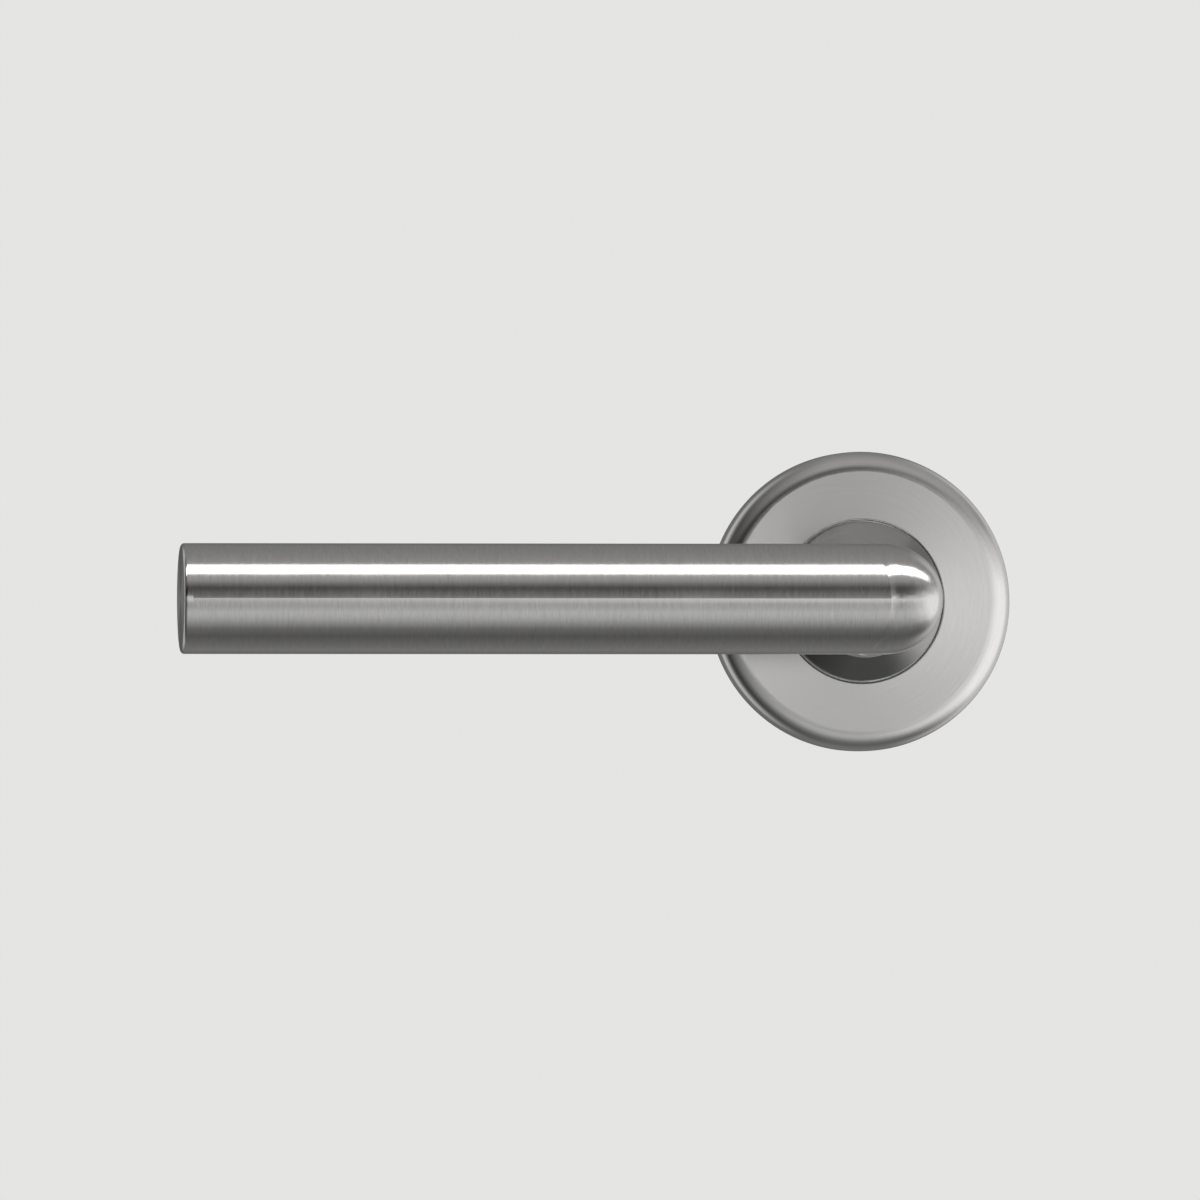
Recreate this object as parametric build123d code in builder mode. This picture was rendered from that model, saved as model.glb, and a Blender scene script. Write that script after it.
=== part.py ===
from build123d import *
import os
from math import cos, radians, sin

# A lever handle on a round, sprung rose, for one side of a door.
#
# Millimetres. The origin is on the door face, on the axis of the spindle. +Z is up, -Y points
# out of the door into the room, and the lever points along -X. "Out" in the names below is
# the distance out from the door face: a point that is out by 10 has y = -10. Angles are seen
# from the room: 0 is +X and 90 is +Z.

# ---- driving dimensions ---------------------------------------------------------------------

# lever
TUBE_DIAMETER = 19.0
TUBE_WALL = 1.5
LEVER_LENGTH = 131.0
LEVER_PROJECTION = 60.0
TURN = 45.0

# rose cover
ROSE_DIAMETER = 52.0
ROSE_DEPTH = 10.0
COVER_WALL = 1.0
COVER_HOLE_RADIUS = 14.1
COVER_FALL = 0.2
COVER_EDGE_RADIUS = 3.5
COVER_REAR = 0.2

# fixing to the door
FIXING_RADIUS = 19.0
SPINDLE_SIDE = 8.0
SPINDLE_LENGTH = 100.0
SPINDLE_FRONT = 28.0

# levels inside the rose, out from the door
WEB_REAR = 3.4
WEB_FRONT = 4.4
PLATE_REAR = 7.8
PLATE_FRONT = 8.8
COLLAR_REAR = 9.45

# hub
HUB_REAR = 0.15
REAR_JOURNAL_RADIUS = 7.5
FRONT_JOURNAL_RADIUS = 9.0
FLAT_HALF_WIDTH = 7.5
COLLAR_RADIUS = 13.8
COLLAR_RIM = 1.75
COLLAR_TOP_RADIUS = 9.8
SPIGOT_FRONT = 34.0
GRUB_SCREW_OUT = 24.0
GAP = 0.05

# return spring
WIRE_RADIUS = 0.7
COIL_RADIUS = 12.9
COIL_TURNS = 1.25
FIXED_LEG_ANGLE = 114.0
FIXED_LEG_END = 18.5
MOVING_LEG_END = 8.95

# stop between the spring driver and the base plate
STOP_START = 237.5
STOP_LUG_ARC = 20.0
STOP_SIDE_ARC = 1.0

# ---- sizes that follow ------------------------------------------------------------------------

TUBE_RADIUS = TUBE_DIAMETER / 2
TUBE_BORE_RADIUS = TUBE_RADIUS - TUBE_WALL
GRIP_OUT = LEVER_PROJECTION - TUBE_RADIUS
TIP_X = TUBE_RADIUS - LEVER_LENGTH
NECK_REAR = COLLAR_REAR + COLLAR_RIM + COLLAR_RADIUS - COLLAR_TOP_RADIUS

COVER_RADIUS = ROSE_DIAMETER / 2
COVER_INNER_RADIUS = COVER_RADIUS - COVER_WALL
COVER_INNER_FACE = ROSE_DEPTH - COVER_WALL

COIL_REAR = WEB_FRONT + GAP + WIRE_RADIUS
COIL_FRONT = PLATE_REAR - GAP - WIRE_RADIUS
MOVING_LEG_ANGLE = FIXED_LEG_ANGLE + 360.0 * COIL_TURNS

# the four plate screws sit between the two bolts and the two wood screws
SIDES = 4
POST_ANGLE = 45.0

# draft of the screwdriver crosses
RECESS_TAPER = 8.0


def facing(out):
    """The plane parallel to the door at this distance out, with X and Z as its axes."""
    return Plane.XZ.offset(out)


def half_section(points):
    """The half section of a turned piece, from its (radius, out) points in order."""
    with BuildSketch(Plane.XY) as section:
        with BuildLine():
            Polyline(*[(radius, -out) for radius, out in points], close=True)
        make_face()
    return section.sketch


def ring_section(inner, outer, rear, front):
    """The half section of a plain ring."""
    return half_section([(inner, rear), (outer, rear), (outer, front), (inner, front)])


def sector(out, inner, outer, start, arc):
    """A flat sector of a ring at this distance out."""
    with BuildSketch(facing(out)) as shape:
        with BuildLine():
            far = CenterArc((0, 0), outer, start, arc)
            near = CenterArc((0, 0), inner, start, arc)
            Line(far @ 0, near @ 0)
            Line(far @ 1, near @ 1)
        make_face()
    return shape.sketch


def radial_slot(out, inner, outer, width, angle):
    """A straight slot along a radius at this distance out."""
    with BuildSketch(facing(out)) as shape:
        with PolarLocations((inner + outer) / 2, 1, start_angle=angle):
            Rectangle(outer - inner, width)
    return shape.sketch


def cross_recess(out, length, width, depth):
    """Cuts a tapered screwdriver cross into a screw head whose front is at this distance out."""
    with BuildSketch(facing(out)) as shape:
        Rectangle(length, width)
        Rectangle(width, length)
    extrude(shape.sketch, amount=-depth, taper=RECESS_TAPER, mode=Mode.SUBTRACT)


def on_radius(radius, angle):
    """The x and z of a point at this radius and angle."""
    return (radius * cos(radians(angle)), radius * sin(radians(angle)))


def front_circle(piece, radius):
    """The circular edge of this radius that is furthest out."""
    circles = piece.edges().filter_by(GeomType.CIRCLE)
    same_radius = circles.filter_by(lambda edge: abs(edge.radius - radius) < 0.01)
    return same_radius.sort_by(Axis.Y)[0]


def save(piece, name):
    """Labels a finished piece and writes its file."""
    piece.part.label = name
    export_step(piece.part, f"parts/{name}.step")


os.makedirs("parts", exist_ok=True)

# ---- base plate -------------------------------------------------------------------------------
# Die-cast. A web carries the hub's rear bush. In front of it stand the spring chamber's wall,
# the posts for the plate screws and the rim that the cover is pushed over. Behind it a boss
# ring, four screw bosses and eight ribs reach the door, and two lugs key into it.

RIM_RADIUS = 24.6
RIM_FRONT = 8.4
RIM_REAR_INNER = 21.6
RIM_FRONT_INNER = 22.9
CHAMBER_INNER = 14.2
CHAMBER_OUTER = 15.2
BOSS_RING_INNER = 12.5
BOSS_RING_OUTER = 14.6
RING_SECTION_RADIUS = 0.8
GROOVE_MIDDLE = 3.0
GROOVE_FLOOR = 23.3
BUSH_SLEEVE_RADIUS = 8.4
LUG_RADIUS = 3.8
LUG_LENGTH = 8.0
BOLT_HOLE_RADIUS = 2.15
WOOD_SCREW_HOLE_RADIUS = 1.95
SCREW_BOSS_RADIUS = 5.0
POST_RADIUS = 2.5
POST_BACK_RADIUS = 3.0
PLATE_THREAD_RADIUS = 1.25
PLATE_THREAD_HOLE = 1.28
PLATE_THREAD_HOLE_REAR = 3.0
RIB_WIDTH = 1.6
SLOT_INNER = 9.3
SLOT_OUTER = 10.9
LEG_SLOT_WIDTH = 1.8
GROOVE_SIDE_GAP = 0.1
POST_MOUTH_CHAMFER = 0.15
RIM_CHAMFER = 1.0

with BuildPart() as base_plate:
    revolve(ring_section(BUSH_SLEEVE_RADIUS + GAP, RIM_RADIUS, WEB_REAR, WEB_FRONT), axis=Axis.Y)
    revolve(ring_section(BOSS_RING_INNER, BOSS_RING_OUTER, 0, WEB_REAR), axis=Axis.Y)
    revolve(ring_section(CHAMBER_INNER, CHAMBER_OUTER, WEB_FRONT, PLATE_REAR), axis=Axis.Y)
    revolve(ring_section(RIM_REAR_INNER, RIM_RADIUS, 0, WEB_REAR), axis=Axis.Y)
    revolve(ring_section(RIM_FRONT_INNER, RIM_RADIUS, WEB_FRONT, RIM_FRONT), axis=Axis.Y)
    # bosses round the bolts and the wood screws, and behind the posts
    with BuildSketch(facing(0)):
        with PolarLocations(FIXING_RADIUS, SIDES):
            Circle(SCREW_BOSS_RADIUS)
        with PolarLocations(FIXING_RADIUS, SIDES, start_angle=POST_ANGLE):
            Circle(POST_BACK_RADIUS)
        Circle(BOSS_RING_INNER, mode=Mode.SUBTRACT)
    extrude(amount=WEB_REAR)
    # ribs behind the web
    for rib in range(2 * SIDES):
        rib_angle = POST_ANGLE / 2 + rib * POST_ANGLE
        extrude(radial_slot(0, BOSS_RING_OUTER - 1, RIM_REAR_INNER + 1, RIB_WIDTH, rib_angle), WEB_REAR)
    # posts for the plate screws
    with BuildSketch(facing(WEB_FRONT)):
        with PolarLocations(FIXING_RADIUS, SIDES, start_angle=POST_ANGLE):
            Circle(POST_RADIUS)
    extrude(amount=PLATE_REAR - WEB_FRONT)
    # lugs that key into the door
    with BuildSketch(facing(-LUG_LENGTH)):
        with PolarLocations(FIXING_RADIUS, 2, start_angle=90):
            Circle(LUG_RADIUS)
    extrude(amount=LUG_LENGTH)
    # holes for the bolts and the wood screws
    with BuildSketch(facing(-LUG_LENGTH)):
        with PolarLocations(FIXING_RADIUS, 2, start_angle=90):
            Circle(BOLT_HOLE_RADIUS)
        with PolarLocations(FIXING_RADIUS, 2, start_angle=0):
            Circle(WOOD_SCREW_HOLE_RADIUS)
    extrude(amount=LUG_LENGTH + WEB_FRONT, mode=Mode.SUBTRACT)
    # threaded holes in the posts
    with BuildSketch(facing(PLATE_THREAD_HOLE_REAR)):
        with PolarLocations(FIXING_RADIUS, SIDES, start_angle=POST_ANGLE):
            Circle(PLATE_THREAD_HOLE)
    extrude(amount=PLATE_REAR - PLATE_THREAD_HOLE_REAR, mode=Mode.SUBTRACT)
    post_mouths = base_plate.edges(Select.LAST).filter_by(GeomType.CIRCLE).group_by(Axis.Y)[0]
    chamfer(post_mouths, POST_MOUTH_CHAMFER)
    # arc slot for the driver's stop lug
    slot_arc = STOP_LUG_ARC + TURN + 2 * STOP_SIDE_ARC
    extrude(
        sector(WEB_REAR, SLOT_INNER, SLOT_OUTER, STOP_START - STOP_SIDE_ARC, slot_arc),
        amount=WEB_FRONT - WEB_REAR,
        mode=Mode.SUBTRACT,
    )
    # slot in the chamber wall for the spring's fixed leg
    extrude(
        radial_slot(
            WEB_FRONT, CHAMBER_INNER - 1, CHAMBER_OUTER + 1, LEG_SLOT_WIDTH, FIXED_LEG_ANGLE
        ),
        amount=PLATE_REAR - WEB_FRONT,
        mode=Mode.SUBTRACT,
    )
    # groove in the rim for the rubber ring
    revolve(
        ring_section(
            GROOVE_FLOOR,
            RIM_RADIUS + 1,
            GROOVE_MIDDLE - RING_SECTION_RADIUS - GROOVE_SIDE_GAP,
            GROOVE_MIDDLE + RING_SECTION_RADIUS + GROOVE_SIDE_GAP,
        ),
        axis=Axis.Y,
        mode=Mode.SUBTRACT,
    )
    # lead-in at the front of the rim
    chamfer(front_circle(base_plate, RIM_RADIUS), RIM_CHAMFER)
save(base_plate, "base_plate")

# ---- bushes -------------------------------------------------------------------------------------

REAR_FLANGE_REAR = 2.92
REAR_FLANGE_RADIUS = 11.4

with BuildPart() as rear_bush:
    revolve(
        half_section(
            [
                (REAR_JOURNAL_RADIUS + GAP, REAR_FLANGE_REAR),
                (REAR_FLANGE_RADIUS, REAR_FLANGE_REAR),
                (REAR_FLANGE_RADIUS, WEB_REAR),
                (BUSH_SLEEVE_RADIUS, WEB_REAR),
                (BUSH_SLEEVE_RADIUS, WEB_FRONT),
                (REAR_JOURNAL_RADIUS + GAP, WEB_FRONT),
            ]
        ),
        axis=Axis.Y,
    )
save(rear_bush, "rear_bush")

FRONT_SLEEVE_RADIUS = 10.0
FRONT_FLANGE_RADIUS = 13.5
FRONT_FLANGE_FRONT = COLLAR_REAR - GAP

with BuildPart() as front_bush:
    revolve(
        half_section(
            [
                (FRONT_JOURNAL_RADIUS + GAP, PLATE_REAR),
                (FRONT_SLEEVE_RADIUS, PLATE_REAR),
                (FRONT_SLEEVE_RADIUS, PLATE_FRONT),
                (FRONT_FLANGE_RADIUS, PLATE_FRONT),
                (FRONT_FLANGE_RADIUS, FRONT_FLANGE_FRONT),
                (FRONT_JOURNAL_RADIUS + GAP, FRONT_FLANGE_FRONT),
            ]
        ),
        axis=Axis.Y,
    )
save(front_bush, "front_bush")

# ---- spring cover plate and its screws ---------------------------------------------------------
# A steel disc with a notch over each bolt and wood screw head, countersunk over the posts.

PLATE_RADIUS = 22.2
PLATE_BUSH_GAP = 0.02
NOTCH_RADIUS = 3.8
NOTCH_CORNER_RADIUS = 0.8
SCREW_HEAD_RADIUS = 2.35
SCREW_HEAD_DEPTH = SCREW_HEAD_RADIUS - PLATE_THREAD_RADIUS
SCREW_TIP = PLATE_FRONT - 5.0
SCREW_TIP_CHAMFER = 0.3

with BuildPart() as spring_cover_plate:
    with BuildSketch(facing(PLATE_REAR)):
        Circle(PLATE_RADIUS)
        Circle(FRONT_SLEEVE_RADIUS + PLATE_BUSH_GAP, mode=Mode.SUBTRACT)
        with PolarLocations(FIXING_RADIUS, SIDES):
            Circle(NOTCH_RADIUS, mode=Mode.SUBTRACT)
        with PolarLocations(FIXING_RADIUS + NOTCH_RADIUS, SIDES):
            Rectangle(2 * NOTCH_RADIUS, 2 * NOTCH_RADIUS, mode=Mode.SUBTRACT)
    extrude(amount=PLATE_FRONT - PLATE_REAR)
    notch_corners = spring_cover_plate.edges().filter_by(Axis.Y).filter_by(
        lambda edge: Vector(edge.center().X, 0, edge.center().Z).length > PLATE_RADIUS - 0.1
    )
    fillet(notch_corners, NOTCH_CORNER_RADIUS)
    with Locations(facing(PLATE_FRONT)):
        with PolarLocations(FIXING_RADIUS, SIDES, start_angle=POST_ANGLE):
            CounterSinkHole(PLATE_THREAD_RADIUS + GAP, SCREW_HEAD_RADIUS + GAP, counter_sink_angle=90)
save(spring_cover_plate, "spring_cover_plate")

with BuildPart() as one_plate_screw:
    revolve(
        half_section(
            [
                (0, SCREW_TIP),
                (PLATE_THREAD_RADIUS - SCREW_TIP_CHAMFER, SCREW_TIP),
                (PLATE_THREAD_RADIUS, SCREW_TIP + SCREW_TIP_CHAMFER),
                (PLATE_THREAD_RADIUS, PLATE_FRONT - SCREW_HEAD_DEPTH),
                (SCREW_HEAD_RADIUS, PLATE_FRONT),
                (0, PLATE_FRONT),
            ]
        ),
        axis=Axis.Y,
    )
    cross_recess(PLATE_FRONT, length=2.6, width=0.6, depth=0.8)

with BuildPart() as cover_plate_screws:
    for post in range(SIDES):
        post_x, post_z = on_radius(FIXING_RADIUS, POST_ANGLE + 90 * post)
        with Locations((post_x, 0, post_z)):
            add(one_plate_screw.part)
save(cover_plate_screws, "cover_plate_screws")

# ---- rubber ring round the base plate's rim ------------------------------------------------------

RUBBER_RING_GAP = 0.07
RUBBER_RING_RADIUS = COVER_INNER_RADIUS - RUBBER_RING_GAP - RING_SECTION_RADIUS

with BuildPart() as cover_o_ring:
    with BuildSketch(Plane.XY):
        with Locations((RUBBER_RING_RADIUS, -GROOVE_MIDDLE)):
            Circle(RING_SECTION_RADIUS)
    revolve(axis=Axis.Y)
save(cover_o_ring, "cover_o_ring")

# ---- bolts and wood screws ------------------------------------------------------------------------

BOLT_HEAD_RADIUS = 3.5
BOLT_HEAD_EDGE = 0.7
BOLT_FRONT = WEB_FRONT + 2.6
BOLT_RADIUS = 2.0
BOLT_THREAD_FRONT = -10.0
UNDERCUT_RADIUS = 1.55
UNDERCUT_WIDTH = 0.8
BOLT_TIP = -38.0
BOLT_TIP_CHAMFER = 0.6

with BuildPart() as one_bolt:
    revolve(
        half_section(
            [
                (0, BOLT_TIP),
                (BOLT_RADIUS - BOLT_TIP_CHAMFER, BOLT_TIP),
                (BOLT_RADIUS, BOLT_TIP + BOLT_TIP_CHAMFER),
                (BOLT_RADIUS, BOLT_THREAD_FRONT),
                (UNDERCUT_RADIUS, BOLT_THREAD_FRONT),
                (UNDERCUT_RADIUS, BOLT_THREAD_FRONT + UNDERCUT_WIDTH),
                (BOLT_RADIUS, BOLT_THREAD_FRONT + UNDERCUT_WIDTH),
                (BOLT_RADIUS, WEB_FRONT),
                (BOLT_HEAD_RADIUS, WEB_FRONT),
                (BOLT_HEAD_RADIUS, BOLT_FRONT - BOLT_HEAD_EDGE),
                (BOLT_HEAD_RADIUS - BOLT_HEAD_EDGE, BOLT_FRONT),
                (0, BOLT_FRONT),
            ]
        ),
        axis=Axis.Y,
    )
    cross_recess(BOLT_FRONT, length=4.2, width=1.0, depth=1.7)

with BuildPart() as through_bolts:
    with Locations((0, 0, FIXING_RADIUS), (0, 0, -FIXING_RADIUS)):
        add(one_bolt.part)
save(through_bolts, "through_bolts")

WOOD_HEAD_RADIUS = 3.2
WOOD_HEAD_EDGE = 0.85
WOOD_FRONT = WEB_FRONT + 2.2
WOOD_SHANK_RADIUS = 1.5
WOOD_THREAD_RADIUS = 1.75
WOOD_THREAD_FRONT = -1.0
WOOD_THREAD_LEAD = 0.25
WOOD_POINT_START = -17.0
WOOD_POINT_RADIUS = 0.2
WOOD_TIP = -21.0

with BuildPart() as one_wood_screw:
    revolve(
        half_section(
            [
                (0, WOOD_TIP),
                (WOOD_POINT_RADIUS, WOOD_TIP),
                (WOOD_THREAD_RADIUS, WOOD_POINT_START),
                (WOOD_THREAD_RADIUS, WOOD_THREAD_FRONT),
                (WOOD_SHANK_RADIUS, WOOD_THREAD_FRONT + WOOD_THREAD_LEAD),
                (WOOD_SHANK_RADIUS, WEB_FRONT),
                (WOOD_HEAD_RADIUS, WEB_FRONT),
                (WOOD_HEAD_RADIUS, WOOD_FRONT - WOOD_HEAD_EDGE),
                (WOOD_HEAD_RADIUS - WOOD_HEAD_EDGE, WOOD_FRONT),
                (0, WOOD_FRONT),
            ]
        ),
        axis=Axis.Y,
    )
    cross_recess(WOOD_FRONT, length=3.4, width=0.9, depth=1.4)

with BuildPart() as wood_screws:
    with Locations((FIXING_RADIUS, 0, 0), (-FIXING_RADIUS, 0, 0)):
        add(one_wood_screw.part)
save(wood_screws, "wood_screws")

# ---- rose cover --------------------------------------------------------------------------------
# A pressed cup whose face falls very slightly from the hole to the edge.

PRY_SLOT_WIDTH = 6.0
PRY_SLOT_DEPTH = 1.2
COVER_INNER_FILLET = COVER_EDGE_RADIUS - COVER_WALL
COVER_HOLE_FILLET = 0.3

with BuildPart() as rose_cover:
    revolve(
        half_section(
            [
                (COVER_HOLE_RADIUS, COVER_INNER_FACE),
                (COVER_INNER_RADIUS, COVER_INNER_FACE - COVER_FALL),
                (COVER_INNER_RADIUS, COVER_REAR),
                (COVER_RADIUS, COVER_REAR),
                (COVER_RADIUS, ROSE_DEPTH - COVER_FALL),
                (COVER_HOLE_RADIUS, ROSE_DEPTH),
            ]
        ),
        axis=Axis.Y,
    )
    fillet(front_circle(rose_cover, COVER_RADIUS), COVER_EDGE_RADIUS)
    fillet(front_circle(rose_cover, COVER_INNER_RADIUS), COVER_INNER_FILLET)
    fillet(front_circle(rose_cover, COVER_HOLE_RADIUS), COVER_HOLE_FILLET)
    # small slot at the bottom for prising the cover off
    with BuildSketch(facing(COVER_REAR)):
        with Locations((0, -COVER_INNER_RADIUS)):
            Rectangle(PRY_SLOT_WIDTH, 4 * COVER_WALL)
    extrude(amount=PRY_SLOT_DEPTH, mode=Mode.SUBTRACT)
save(rose_cover, "rose_cover")

# ---- hub -----------------------------------------------------------------------------------------
# Turned in one piece: rear journal with the circlip groove, double-D drive section, front
# journal, the flared collar that shows in front of the rose, and the spigot in the neck tube.

CIRCLIP_GROOVE_RADIUS = 7.15
CIRCLIP_GROOVE_REAR = 0.8
CIRCLIP_GROOVE_FRONT = 1.9
DRIVE_REAR = WEB_FRONT + GAP
DRIVE_FRONT = PLATE_REAR - GAP
SPIGOT_RADIUS = TUBE_BORE_RADIUS - 0.03
SQUARE_HOLE = SPINDLE_SIDE + 0.1
SQUARE_HOLE_FRONT = 31.0
GRUB_HOLE_RADIUS = 3.0
JOURNAL_CHAMFER = 0.3
SPIGOT_CHAMFER = 0.8
COLLAR_RIM_FILLET = 0.4

with BuildPart() as neck_hub:
    revolve(
        half_section(
            [
                (0, HUB_REAR),
                (REAR_JOURNAL_RADIUS - JOURNAL_CHAMFER, HUB_REAR),
                (REAR_JOURNAL_RADIUS, HUB_REAR + JOURNAL_CHAMFER),
                (REAR_JOURNAL_RADIUS, CIRCLIP_GROOVE_REAR),
                (CIRCLIP_GROOVE_RADIUS, CIRCLIP_GROOVE_REAR),
                (CIRCLIP_GROOVE_RADIUS, CIRCLIP_GROOVE_FRONT),
                (REAR_JOURNAL_RADIUS, CIRCLIP_GROOVE_FRONT),
                (REAR_JOURNAL_RADIUS, DRIVE_REAR),
                (FRONT_JOURNAL_RADIUS, DRIVE_REAR),
                (FRONT_JOURNAL_RADIUS, COLLAR_REAR),
                (COLLAR_RADIUS, COLLAR_REAR),
                (COLLAR_RADIUS, COLLAR_REAR + COLLAR_RIM),
                (COLLAR_TOP_RADIUS, NECK_REAR),
                (SPIGOT_RADIUS, NECK_REAR),
                (SPIGOT_RADIUS, SPIGOT_FRONT - SPIGOT_CHAMFER),
                (SPIGOT_RADIUS - SPIGOT_CHAMFER, SPIGOT_FRONT),
                (0, SPIGOT_FRONT),
            ]
        ),
        axis=Axis.Y,
    )
    fillet(front_circle(neck_hub, COLLAR_RADIUS), COLLAR_RIM_FILLET)
    # flats of the drive section
    with BuildSketch(facing(DRIVE_REAR)):
        for side in (-1, 1):
            with Locations((side * (FLAT_HALF_WIDTH + FRONT_JOURNAL_RADIUS), 0)):
                Rectangle(2 * FRONT_JOURNAL_RADIUS, 2 * FRONT_JOURNAL_RADIUS)
    extrude(amount=DRIVE_FRONT - DRIVE_REAR, mode=Mode.SUBTRACT)
    # square hole for the spindle
    with BuildSketch(facing(HUB_REAR)):
        Rectangle(SQUARE_HOLE, SQUARE_HOLE)
    extrude(amount=SQUARE_HOLE_FRONT - HUB_REAR, mode=Mode.SUBTRACT)
    # threaded hole for the grub screw, from below
    with BuildSketch(Plane.XY):
        with Locations((0, -GRUB_SCREW_OUT)):
            Circle(GRUB_HOLE_RADIUS)
    extrude(amount=-TUBE_RADIUS, mode=Mode.SUBTRACT)
save(neck_hub, "neck_hub")

# ---- neck tube, grip tube and end cap -------------------------------------------------------
# The two tubes meet in a 45 degree mitre. Seen from above, the outside of the corner is a
# superellipse: nearly square, with a soft edge. It is lofted through ellipses on planes that
# turn about an upright line just inside the corner.

CORNER = (0, -GRIP_OUT, 0)
MITRE = Plane(origin=CORNER, x_dir=(0, 0, 1), z_dir=(1, 1, 0))
CORNER_POWER = 4.5
CORNER_STEPS = 6
PIVOT_GAP = 2.5
PIVOT_X = -TUBE_RADIUS - PIVOT_GAP
PIVOT_OUT = GRIP_OUT - TUBE_RADIUS - PIVOT_GAP
GRUB_ACCESS_RADIUS = 3.2
CAP_THICKNESS = 1.5
CAP_EDGE_RADIUS = 0.6
CAP_SPIGOT = 2.0


def corner_section(turn):
    """The plane of a section through the corner, and the half width of its ellipse. turn is 0
    at the end of the neck's straight part and 45 at the mitre."""
    outer_x = TUBE_RADIUS * cos(radians(turn)) ** (2 / CORNER_POWER)
    outer_out = GRIP_OUT + TUBE_RADIUS * sin(radians(turn)) ** (2 / CORNER_POWER)
    slope = (outer_out - PIVOT_OUT) / (outer_x - PIVOT_X)
    outer = Vector(outer_x, -outer_out, 0)
    inner = Vector(-TUBE_RADIUS, -PIVOT_OUT - PIVOT_GAP * slope, 0)
    across = outer - inner
    plane = Plane(origin=(outer + inner) / 2, x_dir=across, z_dir=across.cross(Vector(0, 0, 1)))
    return plane, across.length / 2


def tube_to_corner(start):
    """A tube along the neck's axis, from this distance out to the mitre."""
    with BuildPart() as tube:
        with BuildSketch(facing(start)):
            Circle(TUBE_RADIUS)
        extrude(amount=LEVER_PROJECTION - start)
        straight_end = corner_section(0)[0]
        split(bisect_by=straight_end, keep=Keep.BOTTOM)
        for step in range(CORNER_STEPS + 1):
            plane, half_width = corner_section(45 * step / CORNER_STEPS)
            with BuildSketch(plane):
                Ellipse(half_width, TUBE_RADIUS)
        loft()
        # the bore ends in a ball
        with BuildSketch(facing(start)):
            Circle(TUBE_BORE_RADIUS)
        extrude(amount=GRIP_OUT - start, mode=Mode.SUBTRACT)
        with Locations(CORNER):
            Sphere(TUBE_BORE_RADIUS, mode=Mode.SUBTRACT)
    return tube.part


with BuildPart() as neck_tube:
    add(tube_to_corner(NECK_REAR))
    with BuildSketch(Plane.XY):
        with Locations((0, -GRUB_SCREW_OUT)):
            Circle(GRUB_ACCESS_RADIUS)
    extrude(amount=-TUBE_DIAMETER, mode=Mode.SUBTRACT)
save(neck_tube, "neck_tube")

# the grip is made along the neck's axis and mirrored in the mitre
with BuildPart() as grip_tube:
    add(tube_to_corner(GRIP_OUT + TIP_X + CAP_THICKNESS).mirror(MITRE))
save(grip_tube, "grip_tube")

with BuildPart() as end_cap:
    with BuildSketch(Plane.YZ.offset(TIP_X)):
        with Locations((-GRIP_OUT, 0)):
            Circle(TUBE_RADIUS)
    extrude(amount=CAP_THICKNESS)
    fillet(end_cap.edges().sort_by(Axis.X)[0], CAP_EDGE_RADIUS)
    with BuildSketch(Plane.YZ.offset(TIP_X + CAP_THICKNESS)):
        with Locations((-GRIP_OUT, 0)):
            Circle(SPIGOT_RADIUS)
    extrude(amount=CAP_SPIGOT)
save(end_cap, "end_cap")

# ---- grub screw and spindle -----------------------------------------------------------------

GRUB_RADIUS = 2.95
GRUB_LENGTH = 5.0
GRUB_POINT_RADIUS = 2.0
HEX_KEY = 3.0
HEX_DEPTH = 2.4
SPINDLE_FACE = SPINDLE_SIDE / 2
SPINDLE_CHAMFER = 0.6

with BuildPart() as grub_screw:
    with BuildSketch(Plane.XY.offset(-SPINDLE_FACE)):
        with Locations((0, -GRUB_SCREW_OUT)):
            Circle(GRUB_RADIUS)
    extrude(amount=-GRUB_LENGTH)
    chamfer(grub_screw.edges().sort_by(Axis.Z)[-1], GRUB_RADIUS - GRUB_POINT_RADIUS)
    with BuildSketch(Plane.XY.offset(-SPINDLE_FACE - GRUB_LENGTH)):
        with Locations((0, -GRUB_SCREW_OUT)):
            RegularPolygon(HEX_KEY / 2, 6, major_radius=False)
    extrude(amount=HEX_DEPTH, mode=Mode.SUBTRACT)
save(grub_screw, "grub_screw")

with BuildPart() as spindle:
    with BuildSketch(facing(SPINDLE_FRONT - SPINDLE_LENGTH)):
        Rectangle(SPINDLE_SIDE, SPINDLE_SIDE)
    extrude(amount=SPINDLE_LENGTH)
    chamfer(spindle.faces().filter_by(Axis.Y).edges(), SPINDLE_CHAMFER)
save(spindle, "spindle")

# ---- spring driver ----------------------------------------------------------------------------------
# A ring keyed on the hub's flats, notched for the spring's moving leg, with a lug on its rear
# face that runs in the base plate's arc slot.

DRIVER_RADIUS = 10.9
DRIVER_REAR = WEB_FRONT + 2 * GAP
DRIVER_FRONT = PLATE_REAR - 2 * GAP
LUG_INNER = 9.4
LUG_OUTER = 10.8
LEG_NOTCH_DEPTH = 1.45
LEG_NOTCH_WIDTH = 1.6
LEG_NOTCH_INNER = MOVING_LEG_END - 0.15

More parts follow.
